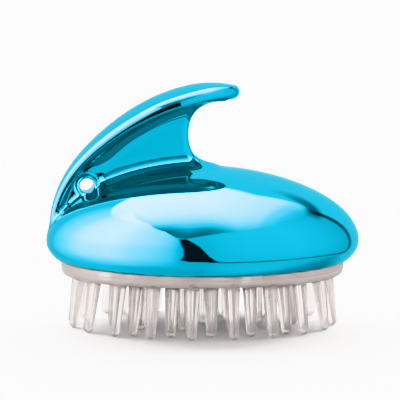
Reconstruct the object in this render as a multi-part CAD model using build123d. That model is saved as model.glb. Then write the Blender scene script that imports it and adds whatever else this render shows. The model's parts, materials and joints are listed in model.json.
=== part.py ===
from build123d import *
import os
from math import cos, radians, sin, sqrt

# Scalp massager brush: a plated palm-sized housing with an arched fin handle over a
# clear silicone pad, whose bristled field is pressed in against trapped air.
# Millimetres. +X runs from the heel to the nose, +Z is up, and the bristle tips
# stand on z = 0. The brush is symmetric about the XZ plane.

# Amount by which a cutting or joining block runs past what it cuts or joins
OVERRUN = 0.2

# Housing
HALF_LENGTH = 50.0
HALF_WIDTH = 36.0
TOP_Z = 50.5
WIDEST_Z = 27.0
LIP_Z = 20.0
LIP_BOW = 1.2
LIP_RADIUS = HALF_LENGTH ** 2 / (2 * LIP_BOW)
UNDER_DEPTH = 16.9
SHELL_WALL = 2.2

# Fin: a web that stands on the housing and carries a crowned flange
WEB_HALF = 2.5
WEB_BLEND = 4.2
WEB_START = -46.0
FLANGE_DEPTH = 4.6
HEEL_DEPTH = 2.6
DEPTH_GROWTH = 0.09
HEEL_RISE = 1.5
HANG_HOLE_RADIUS = 2.4
HANG_HOLE_X = -37.3
HANG_HOLE_Z = 45.0
HOLE_SPAN = 30.0
NOTCH_REACH = 20.0

# Flange's section, from the middle of its top round one edge to the middle of its underside:
# shares of the half width, of the crown's drop and of the thickness
SECTION = [(0, 0, 0), (0.55, 0.28, 0), (0.86, 0.8, 0), (1, 1, 0.45), (0.86, 0.95, 0.92), (0.5, 0.6, 1),
           (0, 0.5, 1)]

# The ridge climbs forward of this share of its length; a place on it is found by halving
RIDGE_START = 0.15
HALVINGS = 40

# Shape of the web's flank: how far its blends spread, as shares of the blend radius
FOOT_SHARE = 0.3
BLENDS_PER_HEIGHT = 2.4
FOOT_SPREAD = 0.8
FOOT_SINK = 1.2
HEAD_RISE = 1.4
STEEPEST_RIDGE = 0.25

# Silicone pad; insets are measured inward from the outer wall of its rim
RIM_HALF_LENGTH = 45.3
RIM_HALF_WIDTH = 31.0
RIM_BOTTOM_Z = 16.0
RIM_CORNER = 2.4
BAND_THICKNESS = 2.8
BAND_WIDTH = 9.5
RIM_WALL = 2.2
NECK_INSET = 2.4
NECK_WALL = 2.6
LIP_REACH = 2.0
LIP_HEIGHT = 1.4
INNER_WALL = 2.0
SEAT_GAP = 0.1

# Air chamber plate
PLATE_Z = 24.4
PLATE_THICKNESS = 2.4
RIB_LENGTH = 44.0
RIB_SPACING = 9.0
RIB_HEIGHT = 3.0
RIB_WALL = 1.4

# Screws that pull the plate against the bosses of the housing
SCREW_X = 25.0
SCREW_Y = 14.0
BOSS_RADIUS = 3.3
BOSS_BORE = 1.3
BOSS_DEPTH = 12.0
SCREW_SHANK = 1.25
SCREW_CLEARANCE = 1.6
CLEARANCE_SPAN = 4 * PLATE_THICKNESS
SCREW_LENGTH = 10.0
HEAD_RADIUS = 2.5
HEAD_HEIGHT = 1.2
HEAD_POCKET = 2.8
DRIVE_RADIUS = 0.9
DRIVE_DEPTH = 0.7

# Cushion field and the rolling skirt round it
FIELD_BOTTOM_Z = 18.5
FIELD_THICKNESS = 1.4
FIELD_INSET = 13.1
SKIRT_OUTER_INSET = 9.9
SKIRT_INNER_INSET = 12.7
SKIRT_TOP_Z = 24.2
SKIRT_BOTTOM_Z = 18.9

# Bristles
ROOT_RADIUS = 2.3
TIP_RADIUS = 1.55
FAN = 0.055
ROOT_DEPTH = 2.0
EDGE_ROOT_RISE = 0.5

# Rows of bristles: half length and half width of each oval, and the angles on it
EDGE_ROW = (39.3, 28.0)
EDGE_ANGLES = range(9, 360, 18)
BAND_ROW = (38.8, 24.0)
BAND_ANGLES = [*range(54, 127, 18), *range(234, 307, 18)]
FIELD_OUTER_ROW = (28.0, 13.8)
FIELD_OUTER_ANGLES = range(15, 360, 30)
FIELD_INNER_ROW = (16.5, 5.6)
FIELD_INNER_ANGLES = range(0, 360, 60)

UPWARD = (Align.CENTER, Align.CENTER, Align.MIN)
BLOCK = 3 * HALF_LENGTH


def half_ellipsoid(length, width, depth, side):
    """Half of an ellipsoid on one side of the widest outline; side is 1 above and -1 below."""
    whole = scale(Sphere(1), by=(length, width, depth))
    block = Pos(0, 0, side * HALF_LENGTH) * Box(BLOCK, BLOCK, 2 * HALF_LENGTH)
    return Pos(0, 0, WIDEST_Z) * (whole & block)


def above_lip(drop):
    """Space above the lip, which bows up slightly towards the heel and the nose, lowered by drop."""
    return Pos(0, 0, LIP_Z - drop + LIP_RADIUS) * Rot(90, 0, 0) * Cylinder(LIP_RADIUS, BLOCK)


def housing_body(shrink):
    """Domed body down to the lip, drawn in by shrink on every side."""
    length = HALF_LENGTH - shrink
    width = HALF_WIDTH - shrink
    upper = half_ellipsoid(length, width, TOP_Z - WIDEST_Z - shrink, 1)
    lower = half_ellipsoid(length, width, UNDER_DEPTH, -1)
    return (upper + lower) & above_lip(0)


def crown_line():
    """Ridge of the flange, from inside the heel up and over to the fin's tip."""
    return Spline([(-46.8, 0, 27.0), (-48.6, 0, 32.5), (-48.0, 0, 38.4), (-43.9, 0, 48.5),
                   (-34.3, 0, 60.2), (-23.3, 0, 68.9), (-7.0, 0, 76.2), (3.4, 0, 77.5),
                   (12.0, 0, 76.0)])


def flange_section(crown, place, half, drop, thick):
    """Crowned section of the flange, square to its ridge, with rounded edges."""
    tangent = crown % place
    outward = Vector(-tangent.Z, 0, tangent.X)
    plane = Plane(origin=crown @ place, x_dir=(0, 1, 0), z_dir=Vector(0, 1, 0).cross(outward))
    right = [(across * half, -fall * drop - deep * thick) for across, fall, deep in SECTION]
    left = [(-x, y) for x, y in reversed(right[1:-1])]
    loop = [plane.from_local_coords(Vector(x, y, 0)) for x, y in right + left]
    return make_face(Spline(loop, periodic=True))


def flange():
    """Flange that narrows to the heel and ends in a rounded tip."""
    stations = [(0.0, 1.6, 0.3, 1.8), (0.1, 2.8, 0.4, 2.2), (0.2, 4.2, 0.5, 2.4),
                (0.3, 5.8, 0.8, 2.7), (0.45, 8.2, 1.3, 3.2), (0.6, 10.0, 1.9, 3.4),
                (0.76, 11.2, 2.3, 3.4), (0.87, 10.2, 2.0, 3.4), (0.94, 7.4, 1.3, 3.6),
                (0.98, 4.8, 0.7, 3.2), (1.0, 2.4, 0.3, 2.2)]
    crown = crown_line()
    return loft([flange_section(crown, *station) for station in stations])


def ridge_at(crown, x):
    """Height and steepness of the ridge above a place on the X axis."""
    low, high = RIDGE_START, 1.0
    for _ in range(HALVINGS):
        middle = (low + high) / 2
        if (crown @ middle).X < x:
            low = middle
        else:
            high = middle
    return (crown @ low).Z, abs((crown % low).X)


def dome_height(x):
    """Height of the housing's top on the symmetry plane."""
    return WIDEST_Z + (TOP_Z - WIDEST_Z) * sqrt(1 - (x / HALF_LENGTH) ** 2)


def web_section(crown, x):
    """Upright section of the web, flared into the housing below and the flange above."""
    ridge, flatness = ridge_at(crown, x)
    depth = min(FLANGE_DEPTH, HEEL_DEPTH + DEPTH_GROWTH * (x - WEB_START))
    lower = dome_height(x)
    upper = max(ridge - depth / max(STEEPEST_RIDGE, flatness), lower + HEEL_RISE)
    blend = min(WEB_BLEND, (upper - lower) / BLENDS_PER_HEIGHT)
    rise = FOOT_SHARE * blend
    foot = WEB_HALF + rise
    spread = WEB_HALF + blend + FOOT_SPREAD
    flank = [(spread, lower - FOOT_SINK), (foot, lower + rise), (WEB_HALF, lower + blend),
             (WEB_HALF, upper - blend), (foot, upper - rise), (spread, upper + HEAD_RISE)]
    right = Spline([(x, y, z) for y, z in flank])
    left = Spline([(x, -y, z) for y, z in reversed(flank)])
    top = Line(right @ 1, left @ 0)
    bottom = Line(left @ 1, right @ 0)
    return make_face([right, top, left, bottom])


def web():
    """Web with the round finger notch cut out of its front."""
    crown = crown_line()
    plate = loft([web_section(crown, x) for x in (WEB_START, -42.5, -38, -32, -25, -17, -9, -1, 4.5)])
    upper, lower = (4.0, 0, 73.6), (6.0, 0, 50.2)
    edge = Spline([upper, (1.0, 0, 71.6), (-2.2, 0, 68.4), (-4.3, 0, 63.5), (-4.0, 0, 58.0),
                   (-1.0, 0, 52.8), lower])
    rest = Polyline(lower, (NOTCH_REACH, 0, 50.2), (NOTCH_REACH, 0, 73.6), upper)
    notch = extrude(make_face([edge, rest]), HOLE_SPAN / 2, both=True)
    return plate - notch


def screw_places():
    """The four screw positions."""
    return [(x, y) for x in (-SCREW_X, SCREW_X) for y in (-SCREW_Y, SCREW_Y)]


def upper_shell():
    """Hollow housing with its fin, hanging hole and four screw bosses."""
    cavity = housing_body(SHELL_WALL)
    hole = Pos(HANG_HOLE_X, 0, HANG_HOLE_Z) * Rot(90, 0, 0) * Cylinder(HANG_HOLE_RADIUS, HOLE_SPAN)
    shell = (housing_body(0) + (web() + flange())) - cavity - hole
    boss_base = PLATE_Z + PLATE_THICKNESS
    boss_height = TOP_Z - boss_base
    for x, y in screw_places():
        boss = Pos(x, y, boss_base) * Cylinder(BOSS_RADIUS, boss_height, align=UPWARD)
        bore = Pos(x, y, boss_base) * Cylinder(BOSS_BORE, BOSS_DEPTH, align=UPWARD)
        shell += (boss & housing_body(SHELL_WALL / 2)) - bore
    return shell


def oval(inset, z, height):
    """Elliptical slab whose outline lies inside the rim's outer wall by inset."""
    outline = Ellipse(RIM_HALF_LENGTH - inset, RIM_HALF_WIDTH - inset)
    return Pos(0, 0, z) * extrude(outline, height)


def oval_ring(outer_inset, inner_inset, z, height):
    """Elliptical ring between two insets from the rim's outer wall."""
    return oval(outer_inset, z, height) - oval(inner_inset, z, height)


def pad_rim():
    """Rim of the pad: a flat band, an outer wall, a neck that grips the plate, an inner wall."""
    band = oval(0, RIM_BOTTOM_Z, LIP_Z + LIP_BOW - RIM_BOTTOM_Z)
    band = fillet(band.edges().group_by(Axis.Z)[0], RIM_CORNER) - above_lip(SEAT_GAP)
    band_top = RIM_BOTTOM_Z + BAND_THICKNESS
    band -= oval(RIM_WALL + NECK_INSET, band_top, LIP_Z)
    band -= oval(BAND_WIDTH, 0, LIP_Z)
    neck_top = PLATE_Z + PLATE_THICKNESS + SEAT_GAP + LIP_HEIGHT
    neck_inner = NECK_INSET + NECK_WALL
    neck = oval_ring(NECK_INSET, neck_inner, band_top, neck_top - band_top)
    lower_lip = oval_ring(neck_inner, neck_inner + LIP_REACH, PLATE_Z - SEAT_GAP - LIP_HEIGHT, LIP_HEIGHT)
    upper_lip = oval_ring(neck_inner, neck_inner + LIP_REACH, neck_top - LIP_HEIGHT, LIP_HEIGHT)
    inner_wall = oval_ring(BAND_WIDTH - INNER_WALL, BAND_WIDTH, band_top, PLATE_Z - SEAT_GAP - band_top)
    return band + neck + lower_lip + upper_lip + inner_wall


def chamber_plate():
    """Rigid back of the air chamber, ribbed, with pockets for the screw heads."""
    inset = NECK_INSET + NECK_WALL + SEAT_GAP
    plate = oval(inset, PLATE_Z, PLATE_THICKNESS)
    for side in (-1, 1):
        rib = Box(RIB_LENGTH, RIB_WALL, RIB_HEIGHT + OVERRUN, align=UPWARD)
        plate += Pos(0, side * RIB_SPACING / 2, PLATE_Z + PLATE_THICKNESS - OVERRUN) * rib
    for x, y in screw_places():
        plate -= Pos(x, y, PLATE_Z) * Cylinder(SCREW_CLEARANCE, CLEARANCE_SPAN)
        plate -= Pos(x, y, PLATE_Z) * Cylinder(HEAD_POCKET, 2 * HEAD_HEIGHT)
    return plate


def plate_screws():
    """Four pan-headed self-tapping screws with a drive recess."""
    screws = []
    for x, y in screw_places():
        head = Pos(x, y, PLATE_Z) * Cylinder(HEAD_RADIUS, HEAD_HEIGHT, align=UPWARD)
        shank = Pos(x, y, PLATE_Z) * Cylinder(SCREW_SHANK, SCREW_LENGTH, align=UPWARD)
        drive = Pos(x, y, PLATE_Z) * Cylinder(DRIVE_RADIUS, DRIVE_DEPTH, align=UPWARD)
        screws.append(head + shank - drive)
    return Compound(children=screws)


def cushion_field():
    """Thin field of the cushion that is pressed in."""
    return oval(FIELD_INSET, FIELD_BOTTOM_Z, FIELD_THICKNESS)


def cushion_skirt():
    """Rolling skirt between the rim's inner wall and the field."""
    return oval_ring(SKIRT_OUTER_INSET, SKIRT_INNER_INSET, SKIRT_BOTTOM_Z, SKIRT_TOP_Z - SKIRT_BOTTOM_Z)


def bristle(x, y, root_z):
    """Tapered round-ended bristle that fans outward from its root to the ground."""
    height = root_z - TIP_RADIUS
    lean = Vector(FAN * x, FAN * y, -height)
    axis = Plane(origin=(x, y, root_z), z_dir=lean)
    cone = axis.location * Cone(ROOT_RADIUS, TIP_RADIUS, lean.length, align=UPWARD)
    tip = Pos(x + lean.X, y + lean.Y, TIP_RADIUS) * Sphere(TIP_RADIUS)
    return cone + tip


def bristles(places, face_z, pad):
    """Group of separate bristles, cut off where they meet the pad."""
    made = []
    for x, y in places:
        clear = bristle(x, y, face_z + ROOT_DEPTH) - pad
        made.append(clear.solids().sort_by(SortBy.VOLUME)[-1])
    return Compound(children=made)


def oval_places(half_length, half_width, degrees):
    """Places on an ellipse at the given angles."""
    return [(half_length * cos(radians(a)), half_width * sin(radians(a))) for a in degrees]


def main():
    os.makedirs("parts", exist_ok=True)
    rim = pad_rim()
    field = cushion_field()
    above_field = oval(BAND_WIDTH, FIELD_BOTTOM_Z, 2 * ROOT_DEPTH)
    edge_places = oval_places(*EDGE_ROW, EDGE_ANGLES)
    band_places = oval_places(*BAND_ROW, BAND_ANGLES)
    field_outer = oval_places(*FIELD_OUTER_ROW, FIELD_OUTER_ANGLES)
    field_inner = oval_places(*FIELD_INNER_ROW, FIELD_INNER_ANGLES)
    nodes = {
        "upper_shell": upper_shell(),
        "chamber_plate": chamber_plate(),
        "plate_screws": plate_screws(),
        "pad_rim": rim,
        "rim_edge_bristles": bristles(edge_places, RIM_BOTTOM_Z + EDGE_ROOT_RISE, rim),
        "rim_band_bristles": bristles(band_places, RIM_BOTTOM_Z, rim),
        "cushion_skirt": cushion_skirt(),
        "cushion_field": field,
        "field_outer_bristles": bristles(field_outer, FIELD_BOTTOM_Z, above_field),
        "field_inner_bristles": bristles(field_inner, FIELD_BOTTOM_Z, above_field),
        "field_centre_bristle": bristles([(0, 0)], FIELD_BOTTOM_Z, above_field),
    }
    for name, shape in nodes.items():
        export_step(shape, f"parts/{name}.step")


main()
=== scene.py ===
import json
import math

import bpy
import numpy as np
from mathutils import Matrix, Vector


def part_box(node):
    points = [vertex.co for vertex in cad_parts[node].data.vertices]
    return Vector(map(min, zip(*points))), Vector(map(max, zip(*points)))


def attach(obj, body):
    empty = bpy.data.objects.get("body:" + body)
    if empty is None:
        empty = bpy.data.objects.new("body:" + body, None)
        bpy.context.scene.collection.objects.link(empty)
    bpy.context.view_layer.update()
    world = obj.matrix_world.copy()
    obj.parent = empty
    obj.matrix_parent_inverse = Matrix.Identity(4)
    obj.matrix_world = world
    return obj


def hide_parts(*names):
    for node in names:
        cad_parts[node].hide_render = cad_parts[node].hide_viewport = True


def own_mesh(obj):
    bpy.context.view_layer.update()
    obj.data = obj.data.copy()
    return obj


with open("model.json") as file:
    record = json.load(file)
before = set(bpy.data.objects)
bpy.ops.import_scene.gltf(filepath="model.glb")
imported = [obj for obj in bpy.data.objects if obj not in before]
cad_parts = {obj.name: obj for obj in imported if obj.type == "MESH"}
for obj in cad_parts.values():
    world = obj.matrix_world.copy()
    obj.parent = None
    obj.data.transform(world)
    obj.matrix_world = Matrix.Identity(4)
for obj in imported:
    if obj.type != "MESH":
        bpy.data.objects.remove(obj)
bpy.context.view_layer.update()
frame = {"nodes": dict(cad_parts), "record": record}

MM = 0.001
SHELL_LOW, SHELL_HIGH = [np.array(corner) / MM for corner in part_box("upper_shell")]
RIM_LOW, RIM_HIGH = [np.array(corner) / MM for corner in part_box("pad_rim")]
FIELD_LOW, FIELD_HIGH = [np.array(corner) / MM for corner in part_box("cushion_field")]
_, SKIRT_HIGH = [np.array(corner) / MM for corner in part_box("cushion_skirt")]
PLATE_LOW, _ = [np.array(corner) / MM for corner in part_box("chamber_plate")]

# Housing, in millimetres. The outline stays just inside the CAD solid.
SKIN_GAP = 0.02
HALF_LENGTH = SHELL_HIGH[0] - SKIN_GAP
HALF_WIDTH = SHELL_HIGH[1] - SKIN_GAP
LIP_Z = SHELL_LOW[2]
WIDEST_Z = LIP_Z + 7.0
DOME_TOP = LIP_Z + 30.8
UNDER_DEPTH = 16.9
WALL = 2.2
LIP_BOW = 1.2
LIP_GAP = 0.05
LIP_ROUND = 0.5
# A power under 1 narrows the dome towards its ends, and the softening keeps its middle round
PLAN_POWER = 0.88
SOFTENING = 0.03

# Screw bosses inside the housing
BOSS_X = 25.0
BOSS_Y = 14.0
BOSS_RADIUS = 3.3
BOSS_BORE = 1.35
BOSS_RISE = 2.45

# Fin. The crown is its outline's outer side and the notch its front, as points (x, z). Widths, thicknesses
# and edge radii are (share of the crown's length, size).
CROWN_POINTS = [(-46.6, 26.0), (-48.7, 32.5), (-48.1, 38.4), (-44.0, 48.5), (-34.3, 60.2), (-23.3, 68.8),
                (-7.0, 76.0), (3.4, 77.25), (11.6, 76.1)]
HALF_WIDTHS = [(0.0, 1.6), (0.1, 2.6), (0.2, 4.2), (0.3, 5.8), (0.45, 8.2), (0.6, 10.1), (0.76, 11.2)]
WIDEST_PLACE = HALF_WIDTHS[-1][0]
FLANGE_CURVE = 0.019
FLANGE_THICK = [(0.0, 2.4), (0.2, 2.6), (0.6, 3.6), (0.85, 3.9), (1.0, 4.5)]
EDGE_ROUND = [(0.0, 1.0), (0.3, 1.3), (0.6, 1.6), (0.85, 1.7), (1.0, 2.1)]
TIP_LEAD = 6.5
NOTCH_POINTS = [(9.0, 73.9), (5.0, 73.6), (1.0, 72.0), (-2.6, 68.8), (-4.8, 63.5), (-4.7, 58.0),
                (-2.9, 53.0), (1.5, 49.0), (8.0, 46.0)]
WEB_HALF = 2.7
WEB_TAPER = 0.02
WEB_MIDDLE = -30.0
WEB_ROUND = 2.3
WEB_FLARE = 0.004
WEB_SINK = 1.2
WEB_TOP_BLEND = 1.0
WEB_TIP_BLEND = 2.0
# The blend of flange and web grows over this span, from a share of the flange's thickness below the crown
UNDER_START = 0.6
UNDER_SPAN = 3.0
UNDER_LEAST = 0.02
BLEND_FLANGE = 7.5
BLEND_DOME = 7.5
BLEND_HEEL = 1.6
HEEL_BACK = -44.0
HEEL_FRONT = -30.0
FIN_FLOOR = LIP_Z + 2.0
FIN_FRONT = 18.0
FIN_SIDE = 20.0
HOLE = next(mount for mount in frame["record"]["mounts"] if mount["name"] == "hanging_hole")
HOLE_X, _, HOLE_Z = [value / MM for value in HOLE["pos_m"]]
HOLE_RADIUS = HOLE["dims"]["r_mm"]
HOLE_ROUND = 0.4
HOLE_LIP = 0.15
EYELET_WALL = 0.8
EYELET_HALF = 4.5
EYELET_ROUND = 0.7
EYELET_BLEND = 1.2

# Meshing of the housing
STEP = 0.6
GRID_MARGIN = 1.6
SETTLING_ROUNDS = 4
LONGEST_MOVE = 0.5 * STEP
SLOPE_REACH = 0.03
CURVE_POINTS = 3000
SEARCH_POINTS = 90
SEARCH_ROUNDS = 4
SEARCH_SHARE = 0.9
# Floors that keep divisions finite away from the surface
LEAST_SIZE = 0.05
LEAST_STEEP = 0.012
LEAST_TIP_STEEP = 0.02
LEAST_LENGTH = 1e-6


class Curve:
    """Smooth plane curve through given points, with places measured along its length."""

    def __init__(self, points):
        knots = np.array(points, float)
        chord = np.r_[0, np.cumsum(np.hypot(*np.diff(knots, axis=0).T))]
        fine = np.linspace(0, chord[-1], CURVE_POINTS)
        path = np.stack([natural_spline(chord, knots[:, i], fine) for i in (0, 1)], 1)
        self.length = np.r_[0, np.cumsum(np.hypot(*np.diff(path, axis=0).T))]
        self.total = self.length[-1]
        self.path = path
        slope = np.gradient(path, self.length, axis=0)
        self.tangent = slope / np.hypot(*slope.T)[:, None]

    def at(self, place):
        """Points of the curve and its directions there."""
        inside = np.clip(place, 0, self.total)
        spot = np.stack([np.interp(inside, self.length, self.path[:, i]) for i in (0, 1)], -1)
        way = np.stack([np.interp(inside, self.length, self.tangent[:, i]) for i in (0, 1)], -1)
        way /= np.hypot(way[..., 0], way[..., 1])[..., None]
        return spot, way

    def offset(self, x, z, place):
        """How far points of the plane lie along the curve and to its left, seen from a place on it."""
        spot, way = self.at(place)
        across, up = x - spot[..., 0], z - spot[..., 1]
        return across * way[..., 0] + up * way[..., 1], up * way[..., 0] - across * way[..., 1]

    def measure(self, x, z):
        """Place along the curve and signed distance to its left, for points of the plane."""
        coarse = np.linspace(0, self.total, SEARCH_POINTS)
        spots, _ = self.at(coarse)
        away = (x[..., None] - spots[:, 0]) ** 2 + (z[..., None] - spots[:, 1]) ** 2
        place = coarse[np.argmin(away, -1)]
        for _ in range(SEARCH_ROUNDS):
            along, _ = self.offset(x, z, place)
            place = np.clip(place + SEARCH_SHARE * along, 0, self.total)
        along, left = self.offset(x, z, place)
        return place + along, left


def natural_spline(knots, values, wanted):
    """Natural cubic spline through the knots, read at the wanted places."""
    count = len(knots)
    gap = np.diff(knots)
    matrix = np.eye(count)
    right = np.zeros(count)
    for i in range(1, count - 1):
        matrix[i, i - 1:i + 2] = gap[i - 1], 2 * (gap[i - 1] + gap[i]), gap[i]
        right[i] = 6 * ((values[i + 1] - values[i]) / gap[i] - (values[i] - values[i - 1]) / gap[i - 1])
    bend = np.linalg.solve(matrix, right)
    i = np.clip(np.searchsorted(knots, wanted, side="right") - 1, 0, count - 2)
    a = (knots[i + 1] - wanted) / gap[i]
    b = 1 - a
    return (a * values[i] + b * values[i + 1]
            + ((a ** 3 - a) * bend[i] + (b ** 3 - b) * bend[i + 1]) * gap[i] ** 2 / 6)


def join(a, b, blend):
    """Smooth union of two distances."""
    mix = np.clip(0.5 + 0.5 * (b - a) / blend, 0, 1)
    return b + (a - b) * mix - blend * mix * (1 - mix)


def meet(a, b, blend):
    """Smooth intersection of two distances."""
    return -join(-a, -b, blend)


def ease(value, low, high):
    """Smooth step from 0 to 1 between two values."""
    share = np.clip((value - low) / (high - low), 0, 1)
    return share * share * (3 - 2 * share)


def rounded_meet(a, b, radius):
    """Intersection of two distances with a round edge."""
    a = a + radius
    b = b + radius
    return np.hypot(np.maximum(a, 0), np.maximum(b, 0)) + np.minimum(np.maximum(a, b), 0) - radius


CROWN = Curve(CROWN_POINTS)
NOTCH = Curve(NOTCH_POINTS)


def dome(x, y, z, shrink):
    """Distance to the housing's domed body, drawn in by shrink."""
    length, width = HALF_LENGTH - shrink, HALF_WIDTH - shrink
    depth = np.where(z > WIDEST_Z, DOME_TOP - WIDEST_Z - shrink, UNDER_DEPTH)
    reach = (x / length) ** 2
    scale = (1 + SOFTENING) ** PLAN_POWER - SOFTENING ** PLAN_POWER
    along = ((reach + SOFTENING) ** PLAN_POWER - SOFTENING ** PLAN_POWER) / scale
    slope_x = PLAN_POWER * (reach + SOFTENING) ** (PLAN_POWER - 1) * 2 * x / length ** 2 / scale
    size = np.sqrt(along + (y / width) ** 2 + ((z - WIDEST_Z) / depth) ** 2)
    slope_y = 2 * y / width ** 2
    slope_z = 2 * (z - WIDEST_Z) / depth ** 2
    steep = np.sqrt(slope_x ** 2 + slope_y ** 2 + slope_z ** 2) / (2 * np.maximum(size, LEAST_SIZE))
    return (size - 1) / np.maximum(steep, LEAST_STEEP)


def fin(x, y, z, body):
    """Distances to the fin's flange and to its hollow-sided web, and how fully the two blend here."""
    place, above = CROWN.measure(x, z)
    across = np.abs(y)
    widest = WIDEST_PLACE * CROWN.total
    knots, widths = np.array(HALF_WIDTHS).T
    half = natural_spline(knots * CROWN.total, widths, np.clip(place, 0, widest))
    side = across - half
    reach = CROWN.total - widest
    beyond = np.maximum(place - widest, 0) / reach
    oval = np.sqrt(beyond ** 2 + (across / widths[-1]) ** 2)
    steep = np.sqrt((beyond / reach) ** 2 + (across / widths[-1] ** 2) ** 2) / np.maximum(oval, LEAST_SIZE)
    tip = (oval - 1) / np.maximum(steep, LEAST_TIP_STEEP)
    plan = np.where(place > widest, tip, side)
    thick = np.interp(place / CROWN.total, *np.array(FLANGE_THICK).T)
    rounding = np.interp(place / CROWN.total, *np.array(EDGE_ROUND).T)
    fall = 2 * FLANGE_CURVE * across
    slab = (np.abs(above + thick / 2 + FLANGE_CURVE * across ** 2) - thick / 2) / np.sqrt(1 + fall ** 2)
    flange = rounded_meet(plan, slab, rounding)
    flange = np.maximum(flange, -place)
    _, ahead = NOTCH.measure(x, z)
    outline = meet(above + WEB_SINK, ahead, WEB_TOP_BLEND)
    outline = meet(outline, place - (CROWN.total - TIP_LEAD), WEB_TIP_BLEND)
    off_middle = (-above - thick - body) / 2
    half_web = WEB_HALF + WEB_TAPER * (x - WEB_MIDDLE) + WEB_FLARE * off_middle ** 2
    web = rounded_meet(outline, across - half_web, WEB_ROUND)
    under = np.clip((-above - UNDER_START * thick) / UNDER_SPAN, UNDER_LEAST, 1)
    return flange, web, under


def bosses(x, y, z):
    """Distance to the four screw bosses inside the housing."""
    away = np.hypot(np.abs(x) - BOSS_X, np.abs(y) - BOSS_Y)
    tube = np.maximum(away - BOSS_RADIUS, BOSS_BORE - away)
    return np.maximum(tube, PLATE_LOW[2] + BOSS_RISE - z)


def shell(points):
    """Distance to the finished housing for an array of points."""
    x, y, z = points[..., 0], points[..., 1], points[..., 2]
    body = dome(x, y, z, 0)
    near = (z > FIN_FLOOR) & (x < FIN_FRONT) & (np.abs(y) < FIN_SIDE)
    outer = body.copy()
    flange, web, under = fin(x[near], y[near], z[near], body[near])
    grown = join(join(flange, web, BLEND_FLANGE * under), body[near], BLEND_DOME)
    heel = ease(x[near], HEEL_BACK, HEEL_FRONT)
    tight = join(join(flange, web, BLEND_HEEL), body[near], BLEND_HEEL)
    outer[near] = tight + (grown - tight) * heel
    away = np.hypot(x - HOLE_X, z - HOLE_Z)
    eyelet = rounded_meet(away - HOLE_RADIUS - EYELET_WALL, np.abs(y) - EYELET_HALF, EYELET_ROUND)
    outer = join(outer, eyelet, EYELET_BLEND)
    outer = meet(outer, HOLE_RADIUS - HOLE_LIP - away, HOLE_ROUND)
    hollow = dome(x, y, z, WALL)
    skin = np.maximum(outer, -hollow)
    post = np.maximum(bosses(x, y, z), body + WALL / 2)
    skin = np.minimum(skin, post)
    lip = LIP_Z + LIP_GAP + LIP_BOW * (x / HALF_LENGTH) ** 2
    return meet(skin, lip - z, LIP_ROUND)


def surface_net(field, low, step):
    """Quads round the zero level of a grid of distances: one vertex in each crossed cell."""
    size = np.array(field.shape) - 1
    total = np.zeros((*size, 3))
    count = np.zeros(size)
    for axis in range(3):
        others = [i for i in range(3) if i != axis]
        for a in (0, 1):
            for b in (0, 1):
                start = [None] * 3
                end = [None] * 3
                start[axis] = slice(0, size[axis])
                end[axis] = slice(1, size[axis] + 1)
                for other, shift in zip(others, (a, b)):
                    start[other] = end[other] = slice(shift, size[other] + shift)
                f0, f1 = field[tuple(start)], field[tuple(end)]
                crossed = (f0 < 0) != (f1 < 0)
                share = np.where(crossed, f0 / np.where(crossed, f0 - f1, 1), 0)
                total[..., axis] += share
                total[..., others[0]] += a * crossed
                total[..., others[1]] += b * crossed
                count += crossed
    cells = np.argwhere(count > 0)
    number = np.full(size, -1)
    number[tuple(cells.T)] = np.arange(len(cells))
    verts = low + step * (cells + total[tuple(cells.T)] / count[tuple(cells.T)][:, None])
    faces = []
    for axis in range(3):
        u, v = [(1, 2), (2, 0), (0, 1)][axis]
        f0 = np.take(field, range(field.shape[axis] - 1), axis)
        f1 = np.take(field, range(1, field.shape[axis]), axis)
        for rising in (True, False):
            hit = ((f0 < 0) & (f1 >= 0)) if rising else ((f0 >= 0) & (f1 < 0))
            edges = np.argwhere(hit)
            inner = (edges[:, u] > 0) & (edges[:, v] > 0) & (edges[:, u] < size[u]) & (edges[:, v] < size[v])
            edges = edges[inner]
            quad = []
            for du, dv in ((1, 1), (0, 1), (0, 0), (1, 0)):
                cell = edges.copy()
                cell[:, u] -= du
                cell[:, v] -= dv
                quad.append(number[tuple(cell.T)])
            quad = np.stack(quad, 1)
            faces.append(quad if rising else quad[:, ::-1])
    return verts, np.concatenate(faces)


def slope(points):
    """Gradient of the housing's distance."""
    grad = np.empty_like(points)
    for axis in range(3):
        shift = np.zeros(3)
        shift[axis] = SLOPE_REACH
        grad[:, axis] = (shell(points + shift) - shell(points - shift)) / (2 * SLOPE_REACH)
    return grad


def make_object(name, verts, faces, normals=None):
    """Smooth-shaded object from millimetre vertices."""
    mesh = bpy.data.meshes.new(name)
    mesh.from_pydata((np.asarray(verts) * MM).tolist(), [], [list(map(int, f)) for f in faces])
    mesh.polygons.foreach_set("use_smooth", [True] * len(mesh.polygons))
    mesh.update()
    if normals is not None:
        mesh.normals_split_custom_set_from_vertices(normals.tolist())
    piece = bpy.data.objects.new(name, mesh)
    bpy.context.scene.collection.objects.link(piece)
    return piece


def build_shell():
    """Housing with its fin, from the distance function."""
    low = SHELL_LOW - GRID_MARGIN
    count = np.ceil((SHELL_HIGH + GRID_MARGIN - low) / STEP).astype(int) + 1
    axes = [low[i] + STEP * np.arange(count[i]) for i in range(3)]
    field = np.empty(count)
    for i, x in enumerate(axes[0]):
        y, z = np.meshgrid(axes[1], axes[2], indexing="ij")
        field[i] = shell(np.stack([np.full_like(y, x), y, z], -1))
    verts, faces = surface_net(field, low, STEP)
    for _ in range(SETTLING_ROUNDS):
        grad = slope(verts)
        size = np.maximum((grad ** 2).sum(1), LEAST_SIZE)
        move = (shell(verts) / size)[:, None] * grad
        far = np.maximum(np.linalg.norm(move, axis=1) / LONGEST_MOVE, 1)
        verts = verts - move / far[:, None]
    grad = slope(verts)
    normals = grad / np.maximum(np.linalg.norm(grad, axis=1), LEAST_LENGTH)[:, None]
    return make_object("plated_housing", verts, faces, normals)


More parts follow.
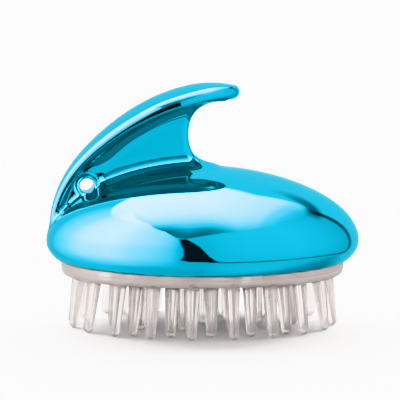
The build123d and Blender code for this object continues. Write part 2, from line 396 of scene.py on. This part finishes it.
# Pad: closed profiles of (inset, height) swept round the oval
RIM_HALF_LENGTH = RIM_HIGH[0]
RIM_HALF_WIDTH = RIM_HIGH[1]
OVAL_SEGMENTS = 240
ARC_STEPS = 6
BAND_GAP = 0.15
SEAM_TOP = 2.7
SEAM_LOW = 2.55
SEAM_INSET = 0.16
WELL_INSET = 9.5
CLAMP_INSET = 7.6
CLAMP_LOW = 18.9
CLAMP_HIGH = 24.2
NECK_OUTER = 2.5
NECK_INNER = 5.1
# The bow of the lip fades in up the band and out again up the neck
BOW_INSET = 5.0
BOW_IN_GAP = 0.4
BOW_OUT_START = 0.2
BOW_OUT_END = 3.0
SKIRT_OUTER = 9.45
SKIRT_INNER = 13.0
SKIRT_THICK = 0.75
SKIRT_ROWS = 26
SKIRT_SINK = 0.5
SKIRT_FOOT = FIELD_LOW[2] + 0.45
SKIRT_LEAD = 0.35
SKIRT_REACH = 0.95
SKIRT_FALL = 1.15
MEMBRANE_DISH = 0.3
DISC_RINGS = 28
DISC_EDGE_RINGS = 6


def rounded_profile(corners):
    """Closed profile with each corner (inset, z, radius) turned into an arc."""
    points = []
    count = len(corners)
    for i, (a, z, radius) in enumerate(corners):
        here = np.array((a, z))
        before = np.array(corners[i - 1][:2]) - here
        after = np.array(corners[(i + 1) % count][:2]) - here
        before /= np.linalg.norm(before)
        after /= np.linalg.norm(after)
        half = math.acos(np.clip(before @ after, -1, 1)) / 2
        back = radius / math.tan(half)
        start, end = here + before * back, here + after * back
        middle = here + (before + after) / np.linalg.norm(before + after) * radius / math.sin(half)
        first = math.atan2(*(start - middle)[::-1])
        turn = (math.atan2(*(end - middle)[::-1]) - first + math.pi) % (2 * math.pi) - math.pi
        for k in range(ARC_STEPS + 1):
            angle = first + turn * k / ARC_STEPS
            points.append(middle + radius * np.array((math.cos(angle), math.sin(angle))))
    return np.array(points)


def sweep_oval(name, profile, lift=0.0):
    """Ring made by carrying a closed profile round the rim's oval; lift raises each row towards the ends."""
    turn = np.linspace(0, 2 * math.pi, OVAL_SEGMENTS, endpoint=False)
    inset, height = profile[:, 0], profile[:, 1]
    x = (RIM_HALF_LENGTH - inset)[:, None] * np.cos(turn)
    y = (RIM_HALF_WIDTH - inset)[:, None] * np.sin(turn)
    z = height[:, None] + np.reshape(lift, (-1, 1)) * (x / HALF_LENGTH) ** 2
    verts = np.stack([x, y, z], -1).reshape(-1, 3)
    rows = len(profile)
    faces = []
    for i in range(rows):
        for j in range(OVAL_SEGMENTS):
            k = (j + 1) % OVAL_SEGMENTS
            m = (i + 1) % rows
            faces.append((i * OVAL_SEGMENTS + j, i * OVAL_SEGMENTS + k, m * OVAL_SEGMENTS + k,
                          m * OVAL_SEGMENTS + j))
    area = 0.5 * np.sum(inset * np.roll(height, -1) - np.roll(inset, -1) * height)
    if area > 0:
        faces = [face[::-1] for face in faces]
    return make_object(name, verts, faces)


def build_rim():
    """Rim of the pad with its rounded lower corner, neck and inner wall."""
    bottom, top = RIM_LOW[2], RIM_HIGH[2]
    band_top = LIP_Z - BAND_GAP
    corners = [(0.0, band_top, 0.25), (0.0, bottom + SEAM_TOP, 0.1), (SEAM_INSET, bottom + SEAM_LOW, 0.1),
               (SEAM_INSET, bottom, 2.2), (WELL_INSET, bottom, 0.9), (WELL_INSET, CLAMP_HIGH, 0.3),
               (CLAMP_INSET, CLAMP_HIGH, 0.3), (CLAMP_INSET, CLAMP_LOW, 0.6), (NECK_INNER, CLAMP_LOW, 0.6),
               (NECK_INNER, top, 0.4), (NECK_OUTER, top, 0.5), (NECK_OUTER, band_top, 0.3)]
    profile = rounded_profile(corners)
    inset, height = profile.T
    fade_in = ease(height, bottom + SEAM_TOP, LIP_Z - BOW_IN_GAP)
    fade_out = 1 - ease(height, LIP_Z + BOW_OUT_START, LIP_Z + BOW_OUT_END)
    return sweep_oval("pad_rim_band", profile, LIP_BOW * fade_in * fade_out * (inset < BOW_INSET))


def build_skirt():
    """Thin rolling skirt that hangs from the rim's inner wall to the field's edge."""
    top = SKIRT_HIGH[2] - SKIRT_SINK
    share = np.arange(SKIRT_ROWS + 1) / SKIRT_ROWS
    turned = (1 - np.cos(math.pi * share)) / 2
    inset = SKIRT_OUTER + SKIRT_LEAD + (SKIRT_INNER - SKIRT_OUTER) * turned * SKIRT_REACH
    line = np.stack([inset, top - (top - SKIRT_FOOT) * share ** SKIRT_FALL], 1)
    way = np.gradient(line, axis=0)
    way /= np.linalg.norm(way, axis=1)[:, None]
    side = np.stack([-way[:, 1], way[:, 0]], 1) * SKIRT_THICK / 2
    loop = np.concatenate([line + side, (line - side)[::-1]])
    return sweep_oval("rolling_skirt", loop)


def disc(name, half_length, half_width, bottom, top, dish):
    """Oval plate with a rounded edge, dished slightly at the middle."""
    radius = (top - bottom) / 2
    spans = [k / DISC_RINGS for k in range(1, DISC_RINGS + 1)]
    rows = [(span, bottom + dish * (1 - span * span), 0.0) for span in spans]
    for k in range(1, DISC_EDGE_RINGS):
        angle = math.pi * k / DISC_EDGE_RINGS
        rows.append((1.0, bottom + radius - radius * math.cos(angle), radius * math.sin(angle)))
    rows += [(span, top + dish * (1 - span * span), 0.0) for span in reversed(spans)]
    turn = np.linspace(0, 2 * math.pi, OVAL_SEGMENTS, endpoint=False)
    verts = [(0, 0, bottom + dish)]
    for span, z, out in rows:
        for angle in turn:
            verts.append((((half_length - radius) * span + out) * math.cos(angle),
                          ((half_width - radius) * span + out) * math.sin(angle), z))
    verts.append((0, 0, top + dish))
    last = 1 + (len(rows) - 1) * OVAL_SEGMENTS
    faces = []
    for j in range(OVAL_SEGMENTS):
        k = (j + 1) % OVAL_SEGMENTS
        faces.append((0, 1 + k, 1 + j))
        faces.append((len(verts) - 1, last + j, last + k))
        for i in range(len(rows) - 1):
            a, b = 1 + i * OVAL_SEGMENTS, 1 + (i + 1) * OVAL_SEGMENTS
            faces.append((a + j, a + k, b + k, b + j))
    return make_object(name, verts, faces)


# Bristles. Each group stands on an oval (half length, half width) at the given angles in degrees.
ROOT_RADIUS = 2.3
TIP_RADIUS = 1.55
FAN = 0.055
ROOT_FLARE = 0.35
FLARE_HEIGHT = 0.9
FLARE_ROWS = 4
SHAFT_ROWS = 12
TIP_ROWS = 8
BRISTLE_SIDES = 28
BURY = 0.5
EDGE_OVAL = (39.6, 28.3)
EDGE_ANGLES = range(9, 360, 18)
EDGE_RAISE = 0.6
EDGE_BURY = 2.6
BAND_OVAL = (38.8, 24.0)
BAND_ANGLES = [*range(54, 127, 18), *range(234, 307, 18)]
FIELD_OUTER_OVAL = (28.0, 13.8)
FIELD_OUTER_ANGLES = range(15, 360, 30)
FIELD_INNER_OVAL = (16.5, 5.6)
FIELD_INNER_ANGLES = range(0, 360, 60)


def bristle_mesh(x, y, root_z, bury):
    """Vertices and faces of one tapered, round-ended bristle, its flared root run into the pad by bury."""
    lean = np.array((FAN * x, FAN * y, -(root_z - TIP_RADIUS)))
    length = np.linalg.norm(lean)
    way = lean / length
    side = np.cross(way, (0, 1, 0))
    side /= np.linalg.norm(side)
    other = np.cross(way, side)
    rows = [(-bury, ROOT_RADIUS + ROOT_FLARE)]
    for k in range(FLARE_ROWS + 1):
        angle = math.pi / 2 * k / FLARE_ROWS
        rows.append((FLARE_HEIGHT * math.sin(angle), ROOT_RADIUS + ROOT_FLARE * (1 - math.sin(angle))))
    for k in range(1, SHAFT_ROWS):
        share = k / SHAFT_ROWS
        rows.append((FLARE_HEIGHT + (length - FLARE_HEIGHT) * share,
                     ROOT_RADIUS + (TIP_RADIUS - ROOT_RADIUS) * share))
    for k in range(TIP_ROWS):
        angle = math.pi / 2 * k / TIP_ROWS
        rows.append((length + TIP_RADIUS * math.sin(angle), TIP_RADIUS * math.cos(angle)))
    base = np.array((x, y, root_z))
    verts = []
    for along, radius in rows:
        for k in range(BRISTLE_SIDES):
            angle = 2 * math.pi * k / BRISTLE_SIDES
            verts.append(base + way * along + radius * (side * math.cos(angle) + other * math.sin(angle)))
    verts.append(base + way * rows[0][0])
    verts.append(base + way * (length + TIP_RADIUS))
    faces = []
    for i in range(len(rows) - 1):
        for j in range(BRISTLE_SIDES):
            k = (j + 1) % BRISTLE_SIDES
            a, b = i * BRISTLE_SIDES, (i + 1) * BRISTLE_SIDES
            faces.append((a + j, a + k, b + k, b + j))
    last = (len(rows) - 1) * BRISTLE_SIDES
    for j in range(BRISTLE_SIDES):
        k = (j + 1) % BRISTLE_SIDES
        faces.append((len(verts) - 2, k, j))
        faces.append((len(verts) - 1, last + j, last + k))
    return verts, faces


def build_bristles(name, places, face_z, bury=BURY):
    """One object holding a group of bristles that stand on a face of the pad."""
    verts, faces = [], []
    for x, y in places:
        more, quads = bristle_mesh(x, y, face_z, bury)
        first = len(verts)
        verts.extend(more)
        faces.extend(tuple(v + first for v in quad) for quad in quads)
    return make_object(name, verts, faces)


def oval_places(half_length, half_width, degrees):
    """Points (x, y) on an oval at the given angles."""
    return [(half_length * math.cos(math.radians(a)), half_width * math.sin(math.radians(a)))
            for a in degrees]


# Materials. Noise scales are in waves per metre of object space.
NOISE_DETAIL = 3.0
PLATING_NOISE = 90.0
SILICONE_NOISE = 400.0
PLAIN_NOISE = 300.0
PLAIN_SPREAD = 0.2
SILICONE_IOR = 1.41


def material(name, **values):
    """Principled material with the given socket values, with its node tree and shader."""
    made = bpy.data.materials.new(name)
    made.use_nodes = True
    shader = made.node_tree.nodes["Principled BSDF"]
    for key, value in values.items():
        shader.inputs[key.replace("_", " ")].default_value = value
    return made, made.node_tree, shader


def noise_into(tree, socket, scale, low, high):
    """Drives a socket between two values with fine noise in object space."""
    place = tree.nodes.new("ShaderNodeTexCoord")
    noise = tree.nodes.new("ShaderNodeTexNoise")
    noise.inputs["Scale"].default_value = scale
    noise.inputs["Detail"].default_value = NOISE_DETAIL
    spread = tree.nodes.new("ShaderNodeMapRange")
    spread.inputs["To Min"].default_value = low
    spread.inputs["To Max"].default_value = high
    tree.links.new(place.outputs["Object"], noise.inputs["Vector"])
    tree.links.new(noise.outputs["Fac"], spread.inputs["Value"])
    tree.links.new(spread.outputs["Result"], socket)


def plating():
    """Bright cyan mirror plating under a thin clear coat."""
    made, tree, shader = material("plating", Base_Color=(0.0, 0.62, 0.94, 1), Metallic=1.0)
    shader.inputs["Specular Tint"].default_value = (0.15, 0.88, 0.97, 1)
    shader.inputs["Coat Weight"].default_value = 0.04
    shader.inputs["Coat Roughness"].default_value = 0.01
    shader.inputs["Coat IOR"].default_value = 1.45
    noise_into(tree, shader.inputs["Roughness"], PLATING_NOISE, 0.01, 0.035)
    return made


def silicone(name, tint, through, smooth, rough):
    """Clear rubber that lets a share of the light through."""
    made, tree, shader = material(name, Base_Color=(*tint, 1), IOR=SILICONE_IOR)
    shader.inputs["Transmission Weight"].default_value = through
    noise_into(tree, shader.inputs["Roughness"], SILICONE_NOISE, smooth, rough)
    return made


def plain(name, color, roughness, metallic=0.0):
    """Plain plastic or metal with slightly uneven gloss."""
    made, tree, shader = material(name, Base_Color=(*color, 1), Metallic=metallic)
    noise_into(tree, shader.inputs["Roughness"], PLAIN_NOISE, roughness * (1 - PLAIN_SPREAD),
               roughness * (1 + PLAIN_SPREAD))
    return made


def dress(piece, finish):
    """Gives a piece its one material."""
    piece.data.materials.clear()
    piece.data.materials.append(finish)


PLATING_FINISH = plating()
CLEAR = silicone("clear_silicone", (0.63, 0.605, 0.592), 0.8, 0.1, 0.16)
FROSTED = silicone("frosted_silicone", (0.60, 0.545, 0.525), 0.65, 0.26, 0.32)

shell_piece = build_shell()
dress(shell_piece, PLATING_FINISH)
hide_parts("upper_shell")
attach(shell_piece, "housing")

RIM_FACE = RIM_LOW[2]
FIELD_FACE = FIELD_LOW[2]
pieces = [
    (build_rim(), "pad_rim", "housing"),
    (build_bristles("edge_bristles", oval_places(*EDGE_OVAL, EDGE_ANGLES), RIM_FACE + EDGE_RAISE, EDGE_BURY),
     "rim_edge_bristles", "housing"),
    (build_bristles("band_bristles", oval_places(*BAND_OVAL, BAND_ANGLES), RIM_FACE),
     "rim_band_bristles", "housing"),
    (build_skirt(), "cushion_skirt", "housing"),
    (disc("field_membrane", FIELD_HIGH[0], FIELD_HIGH[1], FIELD_FACE, FIELD_HIGH[2], MEMBRANE_DISH),
     "cushion_field", "cushion"),
    (build_bristles("field_outer_row", oval_places(*FIELD_OUTER_OVAL, FIELD_OUTER_ANGLES), FIELD_FACE),
     "field_outer_bristles", "cushion"),
    (build_bristles("field_inner_row", oval_places(*FIELD_INNER_OVAL, FIELD_INNER_ANGLES), FIELD_FACE),
     "field_inner_bristles", "cushion"),
    (build_bristles("field_middle", [(0.0, 0.0)], FIELD_FACE), "field_centre_bristle", "cushion"),
]
for piece, node, body in pieces:
    dress(piece, FROSTED if node in ("pad_rim", "cushion_skirt") else CLEAR)
    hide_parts(node)
    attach(piece, body)
skirt_piece = next(piece for piece, node, _ in pieces if node == "cushion_skirt")
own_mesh(skirt_piece)

PLATE_FINISH = plain("natural_abs", (0.80, 0.82, 0.83), 0.4)
SCREW_FINISH = plain("zinc", (0.62, 0.62, 0.64), 0.28, 1.0)
for node, finish in (("chamber_plate", PLATE_FINISH), ("plate_screws", SCREW_FINISH)):
    for slot in frame["nodes"][node].material_slots:
        slot.material = finish


# Studio
FLOOR_RADIUS = 4000.0
FLOOR_RINGS = 60
FLOOR_SIDES = 96
FLOOR_GRADING = 3


def build_floor():
    """Round paper floor, hidden from mirror rays because the light itself holds its reflection."""
    made, _, shader = material("paper_floor", Base_Color=(0.93, 0.93, 0.93, 1), Roughness=0.8)
    shader.inputs["Specular IOR Level"].default_value = 0.1
    turn = np.linspace(0, 2 * math.pi, FLOOR_SIDES, endpoint=False)
    verts = [(0, 0, 0)]
    for k in range(1, FLOOR_RINGS + 1):
        radius = FLOOR_RADIUS * (k / FLOOR_RINGS) ** FLOOR_GRADING
        verts.extend((radius * math.cos(a), radius * math.sin(a), 0) for a in turn)
    faces = []
    for j in range(FLOOR_SIDES):
        k = (j + 1) % FLOOR_SIDES
        faces.append((0, 1 + j, 1 + k))
        for i in range(FLOOR_RINGS - 1):
            a, b = 1 + i * FLOOR_SIDES, 1 + (i + 1) * FLOOR_SIDES
            faces.append((a + j, b + j, b + k, a + k))
    floor = make_object("studio_floor", verts, faces)
    dress(floor, made)
    floor.visible_glossy = False


class Nodes:
    """Short way to write sums on the directions of the studio light."""

    MIX_COLORS = slice(6, 8)
    MIX_RESULT = 2

    def __init__(self, tree):
        self.tree = tree

    def math(self, operation, *values):
        """Result of one sum on constants or sockets."""
        node = self.tree.nodes.new("ShaderNodeMath")
        node.operation = operation
        for socket, value in zip(node.inputs, values):
            if isinstance(value, (int, float)):
                socket.default_value = value
            else:
                self.tree.links.new(value, socket)
        return node.outputs[0]

    def profile(self, value, stops):
        """Piecewise curve through (value, level) stops, with levels from 0 to 1."""
        low, high = stops[0][0], stops[-1][0]
        share = self.tree.nodes.new("ShaderNodeMapRange")
        self.tree.links.new(value, share.inputs["Value"])
        share.inputs["From Min"].default_value = low
        share.inputs["From Max"].default_value = high
        ramp = self.tree.nodes.new("ShaderNodeValToRGB")
        self.tree.links.new(share.outputs["Result"], ramp.inputs["Fac"])
        elements = ramp.color_ramp.elements
        while len(elements) < len(stops):
            elements.new(0.5)
        for element, (place, level) in zip(elements, stops):
            element.position = (place - low) / (high - low)
            element.color = (level, level, level, 1)
        return ramp.outputs["Color"]

    def curve(self, value, stops):
        """Piecewise curve through (value, height) stops of any size."""
        heights = [height for _, height in stops]
        low, span = min(heights), max(heights) - min(heights)
        share = self.profile(value, [(place, (height - low) / span) for place, height in stops])
        return self.math("ADD", self.math("MULTIPLY", share, span), low)

    def rise(self, value, line):
        """How far a value is above a line."""
        return self.math("SUBTRACT", value, line)

    def blend(self, share, first, second):
        """Colour between two colours, each a constant or a socket."""
        node = self.tree.nodes.new("ShaderNodeMix")
        node.data_type = "RGBA"
        self.tree.links.new(share, node.inputs[0])
        for socket, value in zip(node.inputs[self.MIX_COLORS], (first, second)):
            if isinstance(value, tuple):
                socket.default_value = value
            else:
                self.tree.links.new(value, socket)
        return node.outputs[self.MIX_RESULT]

    def product(self, *values):
        """All the values multiplied together."""
        total = values[0]
        for value in values[1:]:
            total = self.math("MULTIPLY", total, value)
        return total

    def switch(self, power, other, ray):
        """The other power for rays of one kind."""
        return self.math("ADD", self.dim(power, 1.0, ray), self.math("MULTIPLY", ray, other))

    def dim(self, power, share, *bands):
        """Takes a share off the power where all the bands overlap."""
        return self.math("MULTIPLY", power, self.math("SUBTRACT", 1.0, self.product(share, *bands)))


# Light by direction, in degrees: front is -Y, arc turns up over the top to the back, bearing turns to the
# right, level is height above the horizon and aside is the lean to the right. Profiles are (angle, share)
# stops, and lines and edges are (angle, angle) curves. Each DIM is the share that a dark shape takes away.
WALL_POWER = 0.98
WALL_LEVEL = [(-80, 0.7), (-60, 0.9), (-45, 0.85), (-30, 0.85), (0, 0.95), (35, 1)]
WALL_BEARING = [(-180, 1), (0, 0.8), (10, 0.9), (30, 0.97), (60, 1), (85, 0.9), (112, 0.72), (122, 1),
                (180, 1)]
WALL_EDGE = [(-50, 56), (-42, 50), (-30, 43), (-20, 32), (-14, 29.5), (-2, 36), (15, 41), (30, 42),
             (50, 45.5), (74, 49), (88, 49), (102, 44), (121, 33), (140, 33)]
TOP_BOX = 14.0
TOP_ARC = [(50, 0), (60, 0.06), (70, 0.3), (80, 0.6), (92, 0.88), (106, 1), (123, 1), (127, 0)]
TOP_ASIDE = [(-58, 0), (-45, 0.2), (-33, 0.4), (-22, 1), (4, 0.95), (22, 0.5), (28, 0.38), (32, 0.12),
             (38, 0.02), (43, 0)]
TOP_LOWER = [(5, 0), (20, 9), (30, 5), (38, 0)]
VALLEY_BEARING = [(-58, 0), (-44, 1), (0, 1), (20, 0.6), (40, 0)]
VALLEY_RISE = [(-1, 0), (1, 1), (10, 0.8), (24, 0)]
VALLEY_DIM = 0.72
LEFT_BOX = 11.0
LEFT_BEARING = [(-135, 0), (-104, 0.28), (-84, 0.85), (-60, 1), (-45, 0.5), (-30, 0.24), (-17, 0)]
LEFT_LEVEL = [(-60, 0), (-42, 0.15), (-25, 0.4), (5, 0.6), (20, 0.95), (33, 1)]
LEFT_EDGE = [(-100, 66), (-78, 62), (-50, 56), (-42, 50), (-36, 46), (-30, 43), (-24, 36), (-19, 28)]
# Dark reflection of the camera's stand, between its left and right edges
CAMERA_LEFT = [(-33, -12), (-27, -17), (-16, -15.4), (-7, -14.5), (6, -14.6), (20, -16.8), (30, -18.6)]
CAMERA_RIGHT = [(-39, 19), (-33, 11), (-25.6, 6.6), (-3.5, 0.6), (13.4, -4.5), (23, -9.5), (30, -14)]
CAMERA_LEVEL = [(-35, 0), (-33, 1), (28, 1), (30, 0)]
CAMERA_DIM = 0.98
SHARP = [(-0.6, 0), (0.6, 1)]
TABLE_LINE = [(0, -34), (19, -36.5), (40, -35), (68, -31.5), (107, -25), (125, -20)]
TABLE_RISE = [(-3, 0), (-1, 1), (1, 1), (3.5, 0)]
TABLE_BEARING = [(-2, 0), (4, 1), (80, 0.8), (116, 1), (122, 0)]
TABLE_DIM = 0.85
EDGE_BEARING = [(113, 0), (116, 1), (120, 1), (124, 0)]
EDGE_LEVEL = [(-24, 0), (-16, 0.7), (10, 0.8), (30, 1), (42, 1), (45, 0)]
EDGE_DIM = 0.9
CORNER_BEARING = [(102, 0), (114, 0.9), (124, 1), (138, 0.8), (152, 0)]
CORNER_LEVEL = [(35, 0), (39, 1), (43, 1), (47, 0)]
CORNER_DIM = 0.85
UNDER_BEARING = [(85, 0), (135, 1), (180, 1)]
UNDER_LEVEL = [(-60, 1), (-42, 0.9), (-30, 0)]
UNDER_DIM = 0.75
BACKDROP = 3.3
FILL_POWER = 5.5
FILL_LEVEL = [(0, 1), (8, 0.9), (18, 0.45), (32, 0.12), (60, 0.05), (90, 0.03)]
KEY_POWER = 10.0
KEY_ARC = [(106, 0), (118, 1), (146, 1), (158, 0)]
KEY_ASIDE = [(-62, 0), (-38, 1), (38, 1), (62, 0)]
KEY_TINT = (1.0, 1.01, 1.02, 1)
FILL_TINT = (1.0, 0.955, 0.935, 1)
THROUGH_POWER = 4.5
THROUGH_BEARING = [(0, 1), (50, 0.7), (95, 0.16), (125, 0.31), (160, 0.38), (180, 0.38)]
# Share of the light kept after one diffuse bounce, and share and tints after two and three mirror bounces
AFTER_DIFFUSE = 0.02
FIRST_BOUNCE = [(0, 0), (1, 1)]
SECOND_BOUNCE = [(1, 0), (2, 1)]
THIRD_BOUNCE = [(2, 0), (3, 1)]
SECOND_SHARE = 0.45
SECOND_TINT = (1.0, 1.0, 0.68, 1)
THIRD_TINT = (1.0, 1.0, 0.4, 1)
WHITE = (1.0, 1.0, 1.0, 1)


def build_light():
    """Studio light that depends on the ray's direction and kind."""
    world = bpy.data.worlds.new("studio")
    bpy.context.scene.world = world
    world.use_nodes = True
    world.cycles.sampling_method = "NONE"
    tree = world.node_tree
    n = Nodes(tree)
    background = tree.nodes["Background"]
    place = tree.nodes.new("ShaderNodeTexCoord")
    split = tree.nodes.new("ShaderNodeSeparateXYZ")
    tree.links.new(place.outputs["Generated"], split.inputs[0])
    x, y, z = split.outputs
    degrees = 180 / math.pi
    front = n.math("MULTIPLY", y, -1.0)
    arc = n.math("MULTIPLY", n.math("ARCTAN2", z, front), degrees)
    aside = n.math("MULTIPLY", n.math("ARCSINE", x), degrees)
    level = n.math("MULTIPLY", n.math("ARCSINE", z), degrees)
    bearing = n.math("MULTIPLY", n.math("ARCTAN2", x, front), degrees)
    power = n.product(WALL_POWER, n.profile(level, WALL_LEVEL), n.profile(bearing, WALL_BEARING))
    over_wall = n.rise(level, n.curve(bearing, WALL_EDGE))
    above_wall = n.profile(over_wall, SHARP)
    power = n.dim(power, VALLEY_DIM, n.profile(bearing, VALLEY_BEARING),
                  n.profile(over_wall, VALLEY_RISE))
    power = n.dim(power, CAMERA_DIM, n.profile(n.rise(bearing, n.curve(level, CAMERA_LEFT)), SHARP),
                  n.profile(n.rise(n.curve(level, CAMERA_RIGHT), bearing), SHARP),
                  n.profile(level, CAMERA_LEVEL))
    power = n.dim(power, EDGE_DIM, n.profile(bearing, EDGE_BEARING), n.profile(level, EDGE_LEVEL))
    power = n.dim(power, TABLE_DIM, n.profile(bearing, TABLE_BEARING),
                  n.profile(n.rise(level, n.curve(bearing, TABLE_LINE)), TABLE_RISE))
    power = n.dim(power, UNDER_DIM, n.profile(bearing, UNDER_BEARING), n.profile(level, UNDER_LEVEL))
    lowered = n.math("ADD", arc, n.curve(aside, TOP_LOWER))
    top = n.product(TOP_BOX, n.profile(lowered, TOP_ARC), n.profile(aside, TOP_ASIDE), above_wall)
    left = n.product(LEFT_BOX, n.profile(bearing, LEFT_BEARING), n.profile(level, LEFT_LEVEL),
                     n.profile(n.rise(n.curve(bearing, LEFT_EDGE), level), SHARP))
    power = n.math("ADD", power, n.math("ADD", left, top))
    power = n.dim(power, CORNER_DIM, n.profile(bearing, CORNER_BEARING), n.profile(level, CORNER_LEVEL))
    rays = tree.nodes.new("ShaderNodeLightPath")
    second = n.profile(rays.outputs["Glossy Depth"], SECOND_BOUNCE)
    power = n.dim(power, 1 - SECOND_SHARE, second)
    power = n.dim(power, 1 - AFTER_DIFFUSE, n.profile(rays.outputs["Diffuse Depth"], FIRST_BOUNCE))
    lit = n.product(n.profile(arc, KEY_ARC), n.profile(aside, KEY_ASIDE))
    fill = n.product(FILL_POWER, n.profile(level, FILL_LEVEL))
    diffuse = rays.outputs["Is Diffuse Ray"]
    power = n.switch(power, n.math("ADD", n.product(KEY_POWER, lit), fill), diffuse)
    through = n.product(THROUGH_POWER, n.profile(n.math("ABSOLUTE", bearing), THROUGH_BEARING))
    power = n.switch(power, through, rays.outputs["Is Transmission Ray"])
    power = n.switch(power, BACKDROP, rays.outputs["Is Camera Ray"])
    third = n.profile(rays.outputs["Glossy Depth"], THIRD_BOUNCE)
    mirrored = n.blend(third, n.blend(second, WHITE, SECOND_TINT), THIRD_TINT)
    color = n.blend(diffuse, mirrored, n.blend(lit, FILL_TINT, KEY_TINT))
    tree.links.new(color, background.inputs["Color"])
    tree.links.new(power, background.inputs["Strength"])


CAMERA_TURN = math.radians(6.2)
CAMERA_TILT = math.radians(7.1)
CAMERA_ROLL = math.radians(0.48)
CAMERA_DISTANCE = 0.7
CAMERA_TARGET = Vector((-0.0011, 0, 0.0398))
CAMERA_LENS = 198.1035
CAMERA_FAR = 20


def build_camera():
    """Long lens, a little above the brush and round towards its heel."""
    level = math.cos(CAMERA_TILT)
    ahead = Vector((math.sin(CAMERA_TURN) * level, math.cos(CAMERA_TURN) * level, -math.sin(CAMERA_TILT)))
    data = bpy.data.cameras.new("camera")
    data.lens = CAMERA_LENS
    data.clip_end = CAMERA_FAR
    camera = bpy.data.objects.new("camera", data)
    bpy.context.scene.collection.objects.link(camera)
    camera.location = CAMERA_TARGET - ahead * CAMERA_DISTANCE
    camera.rotation_euler = ahead.to_track_quat("-Z", "Y").to_euler()
    camera.rotation_euler.rotate_axis("Z", CAMERA_ROLL)
    bpy.context.scene.camera = camera


build_floor()
build_light()
build_camera()
bpy.context.scene.view_settings.view_transform = "Khronos PBR Neutral"
